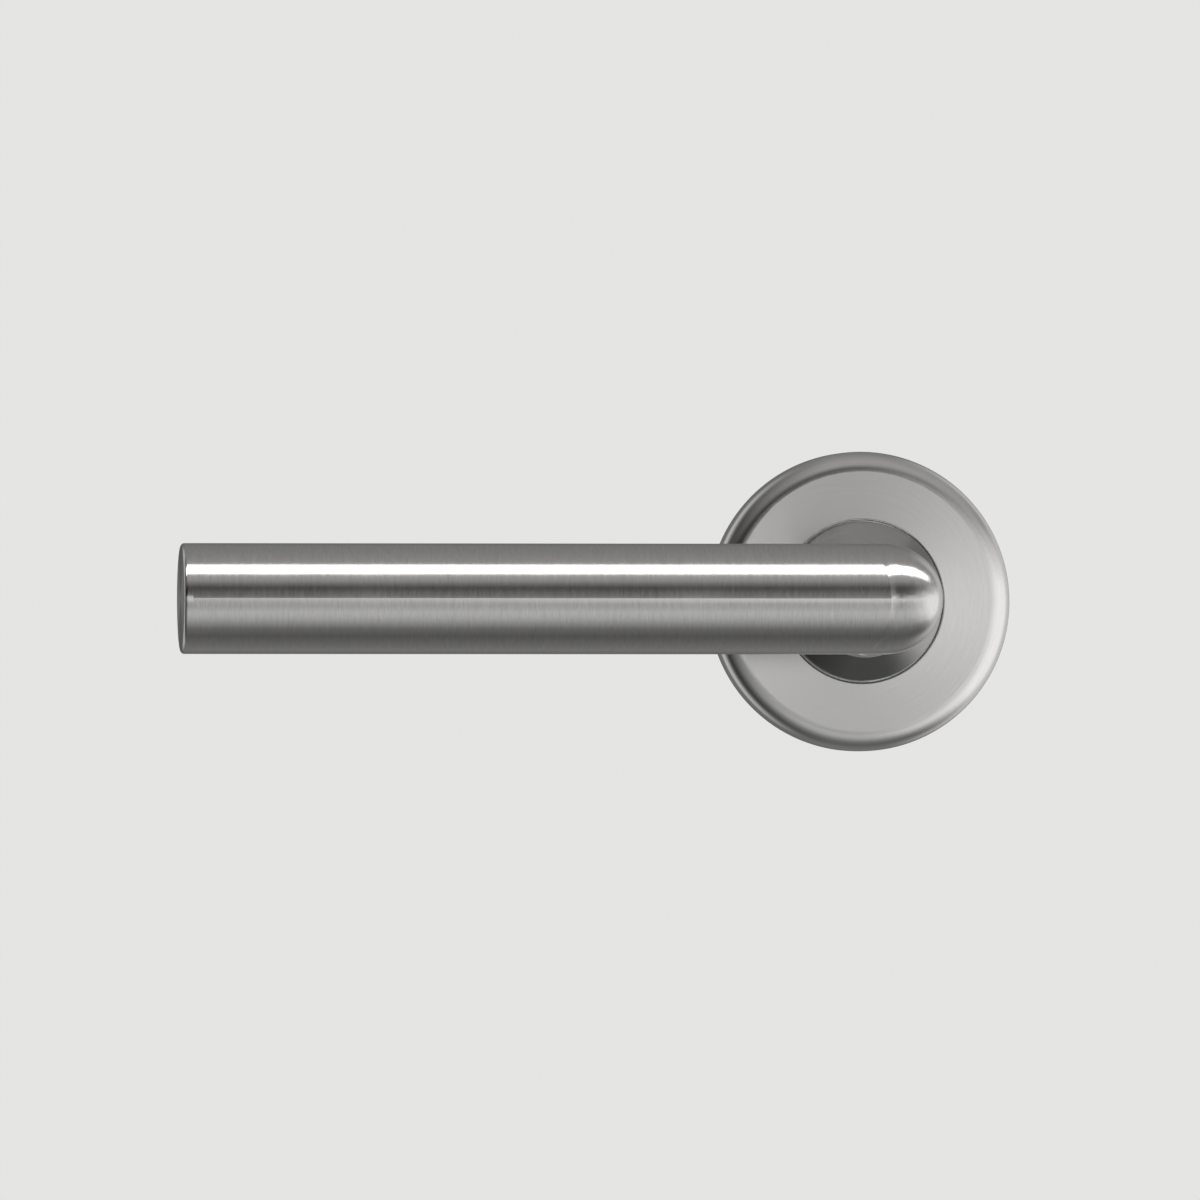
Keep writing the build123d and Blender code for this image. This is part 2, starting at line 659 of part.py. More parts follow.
with BuildPart() as spring_driver:
    with BuildSketch(facing(DRIVER_REAR)):
        Circle(DRIVER_RADIUS)
        with BuildSketch(facing(DRIVER_REAR), mode=Mode.SUBTRACT):
            Circle(FRONT_JOURNAL_RADIUS + GAP)
            Rectangle(2 * (FLAT_HALF_WIDTH + GAP), 2 * DRIVER_RADIUS, mode=Mode.INTERSECT)
    extrude(amount=DRIVER_FRONT - DRIVER_REAR)
    extrude(
        sector(WEB_REAR + GAP, LUG_INNER, LUG_OUTER, STOP_START, STOP_LUG_ARC),
        amount=DRIVER_REAR - WEB_REAR - GAP,
    )
    extrude(
        radial_slot(
            DRIVER_FRONT, LEG_NOTCH_INNER, DRIVER_RADIUS + 1, LEG_NOTCH_WIDTH, MOVING_LEG_ANGLE
        ),
        amount=-LEG_NOTCH_DEPTH,
        mode=Mode.SUBTRACT,
    )
save(spring_driver, "spring_driver")

# ---- return spring --------------------------------------------------------------------------
# Wound forward from the fixed leg, which reaches out through the chamber wall, to the moving
# leg, which reaches in to the driver. Each end of the coil runs a little past its leg. The
# coil is made with its rear end straight down, then turned to put the fixed leg in its slot.

COIL_PITCH = (COIL_FRONT - COIL_REAR) / COIL_TURNS
OVERRUN_ARC = 3.5
LEG_WIRE_RADIUS = 0.66
OVERRUN = COIL_PITCH * OVERRUN_ARC / 360
COIL_START_ANGLE = -90.0
FIXED_LEG_MADE_AT = COIL_START_ANGLE + OVERRUN_ARC
MOVING_LEG_MADE_AT = FIXED_LEG_MADE_AT + 360 * COIL_TURNS


def wire_across(out, angle):
    """The wire's section, set square to a leg where the leg leaves the coil."""
    x, z = on_radius(COIL_RADIUS, angle)
    with BuildSketch(Plane(origin=(x, -out, z), z_dir=(x, 0, z))) as section:
        Circle(LEG_WIRE_RADIUS)
    return section.sketch


with BuildPart() as return_spring:
    with BuildLine() as coil:
        Helix(
            pitch=COIL_PITCH,
            height=COIL_FRONT - COIL_REAR + 2 * OVERRUN,
            radius=COIL_RADIUS,
            center=(0, OVERRUN - COIL_REAR, 0),
            direction=(0, -1, 0),
        )
    with BuildSketch(Plane(origin=coil.line @ 0, z_dir=coil.line % 0)):
        Circle(WIRE_RADIUS)
    sweep(path=coil.line)
    extrude(wire_across(COIL_REAR, FIXED_LEG_MADE_AT), amount=FIXED_LEG_END - COIL_RADIUS)
    extrude(wire_across(COIL_FRONT, MOVING_LEG_MADE_AT), amount=MOVING_LEG_END - COIL_RADIUS)
return_spring.part = return_spring.part.rotate(Axis.Y, FIXED_LEG_MADE_AT - FIXED_LEG_ANGLE)
save(return_spring, "return_spring")

# ---- washers and circlip ------------------------------------------------------------------------

WASHER_RADIUS = 11.4
THRUST_REAR = 2.5
THRUST_FRONT = 2.9
BLANK_HALF_WIDTH = 10.2
BOWED_OUTER = 10.18
BOWED_INNER = 7.75
BOWED_THICKNESS = 0.3
BOWED_REAR = 1.88
BOWED_FRONT = 2.48
CIRCLIP_REAR = 0.85
CIRCLIP_FRONT = 1.85
CIRCLIP_INNER = 7.2
CIRCLIP_OUTER = 9.4
EAR_RADIUS = 1.9
EAR_CENTRE = 9.3
EAR_ANGLE = 14.0
EAR_HOLE_RADIUS = 0.85
CIRCLIP_GAP = 2.0

with BuildPart() as thrust_washer:
    revolve(
        ring_section(REAR_JOURNAL_RADIUS + GAP, WASHER_RADIUS, THRUST_REAR, THRUST_FRONT),
        axis=Axis.Y,
    )
save(thrust_washer, "thrust_washer")

# Bent about an axis along Z, so its left and right sides touch the circlip and its middle
# touches the thrust washer.
with BuildPart() as spring_washer:
    bow = BOWED_FRONT - BOWED_REAR - BOWED_THICKNESS
    with BuildSketch(Plane.XY.offset(-BLANK_HALF_WIDTH)):
        with BuildLine():
            front_arc = ThreePointArc(
                (-BLANK_HALF_WIDTH, -BOWED_REAR - BOWED_THICKNESS),
                (0, -BOWED_FRONT),
                (BLANK_HALF_WIDTH, -BOWED_REAR - BOWED_THICKNESS),
            )
            rear_arc = ThreePointArc(
                (-BLANK_HALF_WIDTH, -BOWED_REAR),
                (0, -BOWED_REAR - bow),
                (BLANK_HALF_WIDTH, -BOWED_REAR),
            )
            Line(front_arc @ 0, rear_arc @ 0)
            Line(front_arc @ 1, rear_arc @ 1)
        make_face()
    extrude(amount=2 * BLANK_HALF_WIDTH)
    revolve(
        ring_section(BOWED_INNER, BOWED_OUTER, 0, WEB_REAR), axis=Axis.Y, mode=Mode.INTERSECT
    )
save(spring_washer, "spring_washer")

with BuildPart() as circlip:
    with BuildSketch(facing(CIRCLIP_REAR)):
        Circle(CIRCLIP_OUTER)
        for side in (-1, 1):
            with Locations(on_radius(EAR_CENTRE, 90 + side * EAR_ANGLE)):
                Circle(EAR_RADIUS)
        Circle(CIRCLIP_INNER, mode=Mode.SUBTRACT)
        for side in (-1, 1):
            with Locations(on_radius(EAR_CENTRE, 90 + side * EAR_ANGLE)):
                Circle(EAR_HOLE_RADIUS, mode=Mode.SUBTRACT)
        with Locations((0, EAR_CENTRE)):
            Rectangle(CIRCLIP_GAP, 3 * EAR_RADIUS, mode=Mode.SUBTRACT)
    extrude(amount=CIRCLIP_FRONT - CIRCLIP_REAR)
save(circlip, "circlip")
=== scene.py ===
import math

import bmesh
import bpy
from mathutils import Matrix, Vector


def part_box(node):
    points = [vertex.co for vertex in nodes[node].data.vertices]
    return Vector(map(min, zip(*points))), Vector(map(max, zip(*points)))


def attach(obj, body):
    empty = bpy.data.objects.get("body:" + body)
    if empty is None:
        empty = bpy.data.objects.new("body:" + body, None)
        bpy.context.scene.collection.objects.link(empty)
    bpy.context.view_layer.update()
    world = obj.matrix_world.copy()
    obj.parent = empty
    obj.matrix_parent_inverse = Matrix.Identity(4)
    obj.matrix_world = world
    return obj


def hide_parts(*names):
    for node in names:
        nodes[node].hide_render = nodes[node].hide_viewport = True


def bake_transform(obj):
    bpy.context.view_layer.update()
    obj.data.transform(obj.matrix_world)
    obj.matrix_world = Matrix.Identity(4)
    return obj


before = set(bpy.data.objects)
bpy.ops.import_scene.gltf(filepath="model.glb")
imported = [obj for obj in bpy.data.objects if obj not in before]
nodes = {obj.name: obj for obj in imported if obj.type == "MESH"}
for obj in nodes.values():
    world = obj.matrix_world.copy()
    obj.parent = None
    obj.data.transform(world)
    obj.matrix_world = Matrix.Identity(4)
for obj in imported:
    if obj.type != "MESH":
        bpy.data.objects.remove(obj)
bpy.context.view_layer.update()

# The looks of a door lever handle on a round rose. Metres, in the frame of the CAD model: the
# origin is on the door face on the spindle's axis, +Z is up, -Y points out into the room and
# the lever points along -X.

MM = 0.001
ALONG_X = Vector((1, 0, 0))
ALONG_Y = Vector((0, 1, 0))

# The grip's axis lies along X through the middle of its end cap.
cap_low, cap_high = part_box("end_cap")
GRIP_AXIS_POINT = Vector((0, (cap_low.y + cap_high.y) / 2, (cap_low.z + cap_high.z) / 2))
SPINDLE_AXIS_POINT = Vector((0, 0, 0))


# ---- node trees ----------------------------------------------------------------------------

# Sockets of the Vector Math and Mix nodes whose names aren't unique.
SCALE_SOCKET = 3
FIRST_COLOUR_SOCKET = 6
SECOND_COLOUR_SOCKET = 7
MIXED_COLOUR_SOCKET = 2


class Nodes:
    """Short calls that add nodes to a tree and link them."""

    def __init__(self, tree):
        self.tree = tree

    def add(self, kind, **settings):
        node = self.tree.nodes.new(kind)
        for key, value in settings.items():
            setattr(node, key, value)
        return node

    def feed(self, socket, value):
        """Links value to the socket if it is another socket, or sets it."""
        if isinstance(value, bpy.types.NodeSocket):
            self.tree.links.new(value, socket)
        else:
            socket.default_value = value

    def math(self, operation, first, second=0.0):
        node = self.add("ShaderNodeMath", operation=operation)
        self.feed(node.inputs[0], first)
        self.feed(node.inputs[1], second)
        return node.outputs[0]

    def vector(self, operation, first, second=(0, 0, 0), scale=1.0):
        node = self.add("ShaderNodeVectorMath", operation=operation)
        self.feed(node.inputs[0], first)
        self.feed(node.inputs[1], second)
        self.feed(node.inputs[SCALE_SOCKET], scale)
        return node.outputs["Value" if operation in ("DOT_PRODUCT", "LENGTH") else "Vector"]

    def combine(self, x, y, z):
        node = self.add("ShaderNodeCombineXYZ")
        for socket, value in zip(node.inputs, (x, y, z)):
            self.feed(socket, value)
        return node.outputs[0]

    def separate(self, vector):
        node = self.add("ShaderNodeSeparateXYZ")
        self.feed(node.inputs[0], vector)
        return node.outputs

    def noise(self, vector, scale, detail=2.0, roughness=0.5):
        node = self.add("ShaderNodeTexNoise")
        self.feed(node.inputs["Vector"], vector)
        node.inputs["Scale"].default_value = scale
        node.inputs["Detail"].default_value = detail
        node.inputs["Roughness"].default_value = roughness
        return node.outputs["Fac"]

    def voronoi(self, vector, scale):
        node = self.add("ShaderNodeTexVoronoi")
        self.feed(node.inputs["Vector"], vector)
        node.inputs["Scale"].default_value = scale
        return node.outputs["Distance"]

    def spread(self, value, low, high, new_low=0.0, new_high=1.0):
        """value from low..high taken to new_low..new_high, and held at the ends."""
        node = self.add("ShaderNodeMapRange", clamp=True)
        for socket, number in zip(node.inputs, (value, low, high, new_low, new_high)):
            self.feed(socket, number)
        return node.outputs[0]

    def mix(self, share, first, second):
        node = self.add("ShaderNodeMix", data_type="RGBA")
        self.feed(node.inputs["Factor"], share)
        self.feed(node.inputs[FIRST_COLOUR_SOCKET], first)
        self.feed(node.inputs[SECOND_COLOUR_SOCKET], second)
        return node.outputs[MIXED_COLOUR_SOCKET]

    def ramp(self, share, stops):
        """stops are (place from 0 to 1, colour)."""
        node = self.add("ShaderNodeValToRGB")
        elements = node.color_ramp.elements
        while len(elements) > 1:
            elements.remove(elements[-1])
        elements[0].position, elements[0].color = stops[0]
        for place, colour in stops[1:]:
            elements.new(place).color = colour
        self.feed(node.inputs[0], share)
        return node.outputs[0]

    def bump(self, height, distance):
        node = self.add("ShaderNodeBump")
        self.feed(node.inputs["Height"], height)
        node.inputs["Distance"].default_value = distance
        return node.outputs[0]


def grey(value, warmth=0.0):
    """An opaque near-grey colour, warmer with warmth above 0."""
    return (value * (1 + warmth), value, value * (1 - warmth), 1.0)


class Material(Nodes):
    """A material with one Principled shader, on the coordinates of the frame at rest."""

    def __init__(self, name, metallic, specular=0.5):
        self.material = bpy.data.materials.new(name)
        self.material.use_nodes = True
        super().__init__(self.material.node_tree)
        self.shader = self.tree.nodes["Principled BSDF"]
        self.shader.inputs["Metallic"].default_value = metallic
        self.shader.inputs["Specular IOR Level"].default_value = specular
        self.place = self.add("ShaderNodeTexCoord").outputs["Object"]

    def finish(self, colour, roughness, normal=None):
        self.feed(self.shader.inputs["Base Color"], colour)
        self.feed(self.shader.inputs["Roughness"], roughness)
        if normal is not None:
            self.feed(self.shader.inputs["Normal"], normal)
        return self.material


# ---- metals --------------------------------------------------------------------------------

# The satin grain: its lines to the metre across it, and how fast they change round the axis.
FINE_GRAIN = (5200.0, 5.0)
COARSE_GRAIN = (1400.0, 2.2)
DEEP_GRAIN = (2600.0, 9.0)
FINE_SHARE = 0.62
COARSE_SHARE = 0.38
LINE_SPREAD = (0.3, 0.7)
SATIN_RELIEF = 0.0045 * MM
SATIN_ANISOTROPY = 0.85

# Stainless steel between the lines, on them, in the deeper ones, and where it is clouded.
STEEL_DARK = (0.555, 0.548, 0.536)
STEEL_LIGHT = (0.655, 0.648, 0.636)
STEEL_DEEP = (0.47, 0.463, 0.452)
STEEL_CLOUD = (0.60, 0.575, 0.55)

# The drawing lines on bar stock are this many times longer than they are wide.
DRAWN_STRETCH = 60.0


def turned_coordinates(m, axis, point):
    """For a piece turned about an axis: the way along its outline, the direction from the axis
    as a unit vector, and the direction of turning."""
    offset = m.vector("SUBTRACT", m.place, tuple(point))
    along = m.vector("DOT_PRODUCT", offset, tuple(axis))
    on_axis = m.vector("SCALE", tuple(axis), scale=along)
    outward = m.vector("SUBTRACT", offset, on_axis)
    radius = m.vector("LENGTH", outward)
    outward = m.vector("NORMALIZE", outward)
    around = m.vector("CROSS_PRODUCT", tuple(axis), outward)
    return m.math("ADD", along, radius), outward, around


def satin_stainless(name, axis, point, handled=0.0, tone=1.0):
    """Stainless steel with a fine satin grain that runs round the axis. handled adds the faint
    marks of hands, and tone makes the metal lighter for painted light and darker for painted shade."""
    m = Material(name, metallic=1.0)

    def steel(colour):
        return tuple(part * tone for part in colour) + (1.0,)

    outline, outward, around = turned_coordinates(m, axis, point)
    direction = m.separate(outward)

    def grain(lines_per_metre, turn_scale):
        lined = m.math("MULTIPLY", outline, lines_per_metre)
        vector = m.combine(
            m.math("ADD", lined, m.math("MULTIPLY", direction[0], turn_scale)),
            m.math("MULTIPLY", direction[1], turn_scale),
            m.math("MULTIPLY", direction[2], turn_scale),
        )
        return m.noise(vector, 1.0, detail=3.0, roughness=0.65)

    fine = m.math("MULTIPLY", grain(*FINE_GRAIN), FINE_SHARE)
    coarse = m.math("MULTIPLY", grain(*COARSE_GRAIN), COARSE_SHARE)
    lines = m.math("ADD", fine, coarse)
    cloud = m.noise(m.place, 38.0, detail=4.0, roughness=0.6)
    # a few deeper lines that the finishing belt left
    deep = m.spread(grain(*DEEP_GRAIN), 0.68, 0.78)

    colour = m.mix(m.spread(lines, *LINE_SPREAD), steel(STEEL_DARK), steel(STEEL_LIGHT))
    colour = m.mix(m.math("MULTIPLY", deep, 0.25), colour, steel(STEEL_DEEP))
    colour = m.mix(m.math("MULTIPLY", cloud, 0.10), colour, steel(STEEL_CLOUD))
    roughness = m.spread(lines, *LINE_SPREAD, 0.15, 0.22)
    roughness = m.math("ADD", roughness, m.math("MULTIPLY", deep, 0.04))
    roughness = m.math("ADD", roughness, m.math("MULTIPLY", cloud, 0.03))
    if handled:
        smudge = m.spread(m.noise(m.place, 95.0, detail=5.0, roughness=0.62), 0.48, 0.72)
        roughness = m.math("ADD", roughness, m.math("MULTIPLY", smudge, 0.03 * handled))
    relief = m.math("SUBTRACT", lines, m.math("MULTIPLY", deep, 0.35))
    normal = m.bump(relief, SATIN_RELIEF)

    # light spreads across the grain, that is, along the outline
    across = m.vector("CROSS_PRODUCT", m.add("ShaderNodeNewGeometry").outputs["Normal"], around)
    m.feed(m.shader.inputs["Tangent"], m.vector("NORMALIZE", across))
    m.shader.inputs["Anisotropic"].default_value = SATIN_ANISOTROPY
    return m.finish(colour, roughness, normal)


def die_cast_zinc():
    """Tumbled die-cast zinc: dull, mottled, with tiny pits and soft flow marks."""
    m = Material("die_cast_zinc", metallic=0.92)
    mottle = m.noise(m.place, 210.0, detail=6.0, roughness=0.62)
    flow = m.noise(m.vector("MULTIPLY", m.place, (1.0, 3.5, 1.0)), 55.0, detail=3.0)
    pits = m.spread(m.voronoi(m.place, 900.0), 0.0, 0.16, 1.0, 0.0)
    chosen = m.spread(m.noise(m.place, 330.0), 0.56, 0.62)
    pits = m.math("MULTIPLY", pits, chosen)
    colour = m.mix(mottle, (0.30, 0.305, 0.315, 1), (0.50, 0.505, 0.51, 1))
    colour = m.mix(m.math("MULTIPLY", flow, 0.35), colour, (0.56, 0.56, 0.56, 1))
    colour = m.mix(pits, colour, (0.16, 0.16, 0.165, 1))
    roughness = m.spread(mottle, 0.3, 0.7, 0.40, 0.56)
    roughness = m.math("ADD", roughness, m.math("MULTIPLY", pits, 0.2))
    height = m.math("SUBTRACT", m.math("MULTIPLY", mottle, 0.6), pits)
    return m.finish(colour, roughness, m.bump(height, 0.03 * MM))


def zinc_plated_steel(name, drawn=None):
    """Bright zinc plating with its faint blue and yellow bloom. drawn is the direction of the
    drawing lines on bar stock."""
    m = Material(name, metallic=1.0)
    bloom = m.spread(m.noise(m.place, 70.0, detail=3.0), 0.35, 0.65)
    patches = m.noise(m.place, 260.0, detail=5.0, roughness=0.6)
    colour = m.mix(bloom, (0.60, 0.63, 0.67, 1), (0.68, 0.66, 0.60, 1))
    colour = m.mix(m.math("MULTIPLY", patches, 0.4), colour, (0.50, 0.51, 0.53, 1))
    height = patches
    if drawn is not None:
        squeeze = tuple(1.0 if part else DRAWN_STRETCH for part in drawn)
        stretched = m.vector("MULTIPLY", m.place, squeeze)
        lines = m.noise(stretched, 90.0, detail=4.0, roughness=0.7)
        colour = m.mix(m.spread(lines, 0.55, 0.75, 0.0, 0.45), colour, (0.40, 0.40, 0.41, 1))
        height = m.math("ADD", height, lines)
    roughness = m.spread(patches, 0.3, 0.7, 0.24, 0.40)
    return m.finish(colour, roughness, m.bump(height, 0.012 * MM))


def dark_steel(name, dark, light, roughness_low, roughness_high, scale):
    """Unplated steel: oil-tempered wire, a sintered ring or a black phosphate finish."""
    m = Material(name, metallic=0.9)
    speckle = m.noise(m.place, scale, detail=6.0, roughness=0.7)
    stain = m.spread(m.noise(m.place, 120.0, detail=3.0), 0.55, 0.75, 0.0, 0.4)
    colour = m.mix(m.spread(speckle, 0.35, 0.65), grey(dark, 0.02), grey(light, 0.03))
    colour = m.mix(stain, colour, (light * 1.15, light, light * 0.8, 1))
    roughness = m.spread(speckle, 0.3, 0.7, roughness_low, roughness_high)
    return m.finish(colour, roughness, m.bump(speckle, 0.02 * MM))


# ---- plastic and rubber --------------------------------------------------------------------


def moulded_nylon():
    """Natural nylon, slightly waxy, with faint swirls from the mould."""
    m = Material("moulded_nylon", metallic=0.0, specular=0.45)
    swirl = m.noise(m.place, 140.0, detail=4.0)
    grain = m.noise(m.place, 2600.0, detail=2.0)
    colour = m.mix(swirl, (0.70, 0.68, 0.61, 1), (0.82, 0.80, 0.74, 1))
    m.shader.inputs["Subsurface Weight"].default_value = 0.15
    m.shader.inputs["Subsurface Radius"].default_value = (2.0 * MM, 1.8 * MM, 1.4 * MM)
    m.shader.inputs["Subsurface Scale"].default_value = 1.0
    return m.finish(colour, m.spread(swirl, 0.3, 0.7, 0.42, 0.56), m.bump(grain, 0.008 * MM))


def black_rubber():
    """Nitrile rubber with a dusty bloom and a fine grain."""
    m = Material("black_rubber", metallic=0.0, specular=0.35)
    bloom = m.noise(m.place, 180.0, detail=5.0, roughness=0.65)
    grain = m.noise(m.place, 3400.0, detail=3.0)
    colour = m.mix(m.spread(bloom, 0.4, 0.75), (0.014, 0.014, 0.015, 1), (0.045, 0.044, 0.042, 1))
    return m.finish(colour, m.spread(bloom, 0.3, 0.7, 0.55, 0.75), m.bump(grain, 0.01 * MM))


# ---- mesh pieces ---------------------------------------------------------------------------

WIRE_SIDES = 16
SCREW_SIDES = 40
RINGS_PER_PITCH = 10

# The share of the pitch that is flat at a thread's crest, and again at its root, and the turns
# over which the thread grows to its full depth.
THREAD_FLAT = 0.12
RUN_IN_TURNS = 1.5

# The shank ends this far in front of the thread.
SHANK_GAP = 0.02 * MM

# The bottom of the cross in a screw's head has these shares of its length and width at the top.
CROSS_LENGTH_TAPER = 0.62
CROSS_WIDTH_TAPER = 0.45

# The ends of a wire are bevelled by this share of its radius.
WIRE_END_BEVEL = 0.25

# Edges with a larger angle than these stay sharp, in degrees.
WIRE_EDGE = 35
THREAD_EDGE = 50
CROSS_EDGE = 40


def new_piece(name, mesh_data, material, sharp_edge):
    """An object from (vertices, faces), smooth but for edges sharper than sharp_edge."""
    vertices, faces = mesh_data
    mesh = bpy.data.meshes.new(name)
    mesh.from_pydata(vertices, [], faces)
    mesh.validate()
    build = bmesh.new()
    build.from_mesh(mesh)
    bmesh.ops.recalc_face_normals(build, faces=build.faces)
    build.to_mesh(mesh)
    build.free()
    piece = bpy.data.objects.new(name, mesh)
    bpy.context.scene.collection.objects.link(piece)
    mesh.materials.append(material)
    mesh.set_sharp_from_angle(angle=math.radians(sharp_edge))
    return piece


def tube_faces(ring_count, sides):
    """The faces between rings of vertices that follow each other, closed at both ends."""
    faces = []
    for ring in range(ring_count - 1):
        low, high = ring * sides, (ring + 1) * sides
        for side in range(sides):
            following = (side + 1) % sides
            faces.append((low + side, low + following, high + following, high + side))
    faces.append(tuple(range(sides)))
    faces.append(tuple((ring_count - 1) * sides + side for side in reversed(range(sides))))
    return faces


def lathe_rings(rings, sides, radius_at):
    """Vertices and faces of a turned piece along +Y from rings of (y, radius). radius_at(y,
    turn, radius) gives the radius at each place round a ring."""
    vertices = []
    for y, ring_radius in rings:
        for side in range(sides):
            turn = side / sides
            radius = radius_at(y, turn, ring_radius)
            angle = 2 * math.pi * turn
            vertices.append((radius * math.cos(angle), y, radius * math.sin(angle)))
    return vertices, tube_faces(len(rings), sides)


def ring_places(start, end, step):
    """Places from start to end, at most step apart unless that makes fewer than two steps."""
    count = max(2, math.ceil(abs(end - start) / step))
    return [start + (end - start) * i / count for i in range(count + 1)]


def move(mesh_data, offset):
    vertices, faces = mesh_data
    return [tuple(Vector(vertex) + Vector(offset)) for vertex in vertices], faces


def cut_cross(piece, length, width, depth, front):
    """Cuts a screwdriver cross into the head whose front is at front, with tapered arms."""
    cutter_mesh = bpy.data.meshes.new("cross")
    build = bmesh.new()
    x, y, z = front
    level_arm = (length, width, CROSS_LENGTH_TAPER, CROSS_WIDTH_TAPER)
    upright_arm = (width, length, CROSS_WIDTH_TAPER, CROSS_LENGTH_TAPER)
    for size_x, size_z, taper_x, taper_z in (level_arm, upright_arm):
        for vertex in bmesh.ops.create_cube(build, size=1.0)["verts"]:
            at_bottom = vertex.co.y > 0
            wide_x = size_x * (taper_x if at_bottom else 1.0)
            wide_z = size_z * (taper_z if at_bottom else 1.0)
            corner_y = y + (depth if at_bottom else -depth)
            vertex.co = Vector((x + vertex.co.x * wide_x, corner_y, z + vertex.co.z * wide_z))
    build.to_mesh(cutter_mesh)
    build.free()
    cutter = bpy.data.objects.new("cross", cutter_mesh)
    bpy.context.scene.collection.objects.link(cutter)
    cut = piece.modifiers.new("cross", "BOOLEAN")
    cut.object = cutter
    cut.operation = "DIFFERENCE"
    cut.solver = "EXACT"
    cut.use_self = True
    bpy.context.view_layer.update()
    evaluated = piece.evaluated_get(bpy.context.evaluated_depsgraph_get())
    cut_mesh = bpy.data.meshes.new_from_object(evaluated)
    piece.modifiers.clear()
    piece.data = cut_mesh
    bpy.data.objects.remove(cutter)


def screw(name, place, pitch, crest, root, thread, shank_radius, head, point, cross, material):
    """A screw along +Y that rides on the rose, with a real helical thread and a cross recess.
    place is (x, z), thread is (front y, rear y), head is its outline as (y, radius) from the
    front, point is the (y, radius) outline behind the thread's rear end, and cross is the
    recess's (length, width, depth)."""
    front_y, rear_y = thread
    step = pitch / RINGS_PER_PITCH

    def thread_radius(y, turn, radius):
        if y < front_y:
            return radius
        phase = ((y - front_y) / pitch - turn) % 1.0
        ridge = abs(2 * phase - 1)
        flank = min(1.0, max(0.0, (ridge - THREAD_FLAT) / (1 - 2 * THREAD_FLAT)))
        run_in = min(1.0, (y - front_y) / (RUN_IN_TURNS * pitch))
        share = radius / crest
        return radius - (crest - root) * (1 - flank) * run_in * share

    rings = list(head)
    rings.append((front_y - SHANK_GAP, shank_radius))
    rings += [(y, crest) for y in ring_places(front_y, rear_y, step)]
    start_y = rear_y
    for end_y, end_radius in point:
        start_radius = rings[-1][1]
        for y in ring_places(start_y, end_y, step)[1:]:
            share = (y - start_y) / (end_y - start_y)
            rings.append((y, start_radius + (end_radius - start_radius) * share))
        start_y = end_y
    mesh_data = move(lathe_rings(rings, SCREW_SIDES, thread_radius), (place[0], 0, place[1]))
    piece = new_piece(name, mesh_data, material, THREAD_EDGE)
    length, width, depth = cross
    cut_cross(piece, length, width, depth, (place[0], head[0][0], place[1]))
    piece.data.set_sharp_from_angle(angle=math.radians(CROSS_EDGE))
    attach(piece, "rose")
    return piece


def wire_mesh(path, radius, sides):
    """Vertices and faces of a round wire swept along a path of points, with bevelled ends. It
    has a ring of vertices for each point and one more at either end."""
    rings, vertices = [], []
    normal = None
    for i, point in enumerate(path):
        ahead = path[min(i + 1, len(path) - 1)] - path[max(i - 1, 0)]
        ahead.normalize()
        if normal is None:
            normal = ahead.orthogonal().normalized()
        normal = (normal - ahead * normal.dot(ahead)).normalized()
        rings.append((point, ahead.copy(), normal.copy(), radius))
    bevel = radius * WIRE_END_BEVEL
    start, start_ahead, start_normal, _ = rings[0]
    end, end_ahead, end_normal, _ = rings[-1]
    rings[0] = (start, start_ahead, start_normal, radius - bevel)
    rings.insert(1, (start + start_ahead * bevel, start_ahead, start_normal, radius))
    rings[-1] = (end - end_ahead * bevel, end_ahead, end_normal, radius)
    rings.append((end, end_ahead, end_normal, radius - bevel))
    for point, ahead, normal, ring_radius in rings:
        up = ahead.cross(normal)
        for side in range(sides):
            angle = 2 * math.pi * side / sides
            sideways = normal * (ring_radius * math.cos(angle))
            vertices.append(tuple(point + sideways + up * (ring_radius * math.sin(angle))))
    return vertices, tube_faces(len(rings), sides)


# ---- materials on the CAD nodes ------------------------------------------------------------

# The rose's steel is painted lighter than the tubes', as painted light, and the hub's is painted
# darker, as painted shade where the neck enters the rose.
ROSE_PAINTED_LIGHT_TONE = 1.12
HUB_PAINTED_SHADE_TONE = 0.55

# painted light: the rose's copy of the steel is made lighter than the tubes'
steel_rose_painted_light = satin_stainless("satin_stainless_rose_painted_light", ALONG_Y, SPINDLE_AXIS_POINT, tone=ROSE_PAINTED_LIGHT_TONE)
# painted shade: the hub's copy of the steel is made darker for the shade where the neck enters the
# rose
steel_hub_painted_shade = satin_stainless("satin_hub_painted_shade", ALONG_Y, SPINDLE_AXIS_POINT, tone=HUB_PAINTED_SHADE_TONE)
steel_neck = satin_stainless("satin_stainless_neck", ALONG_Y, SPINDLE_AXIS_POINT, handled=0.4)
steel_grip = satin_stainless("satin_stainless_grip", ALONG_X, GRIP_AXIS_POINT, handled=1.0)
zinc = die_cast_zinc()
nylon = moulded_nylon()
rubber = black_rubber()
plated = zinc_plated_steel("zinc_plated_steel")
plated_bar = zinc_plated_steel("zinc_plated_bar", drawn=ALONG_Y)
spring_wire = dark_steel("spring_wire", 0.16, 0.30, 0.26, 0.42, 900.0)
sintered = dark_steel("sintered_steel", 0.15, 0.34, 0.48, 0.66, 1500.0)
phosphate = dark_steel("phosphated_steel", 0.035, 0.085, 0.38, 0.58, 1100.0)

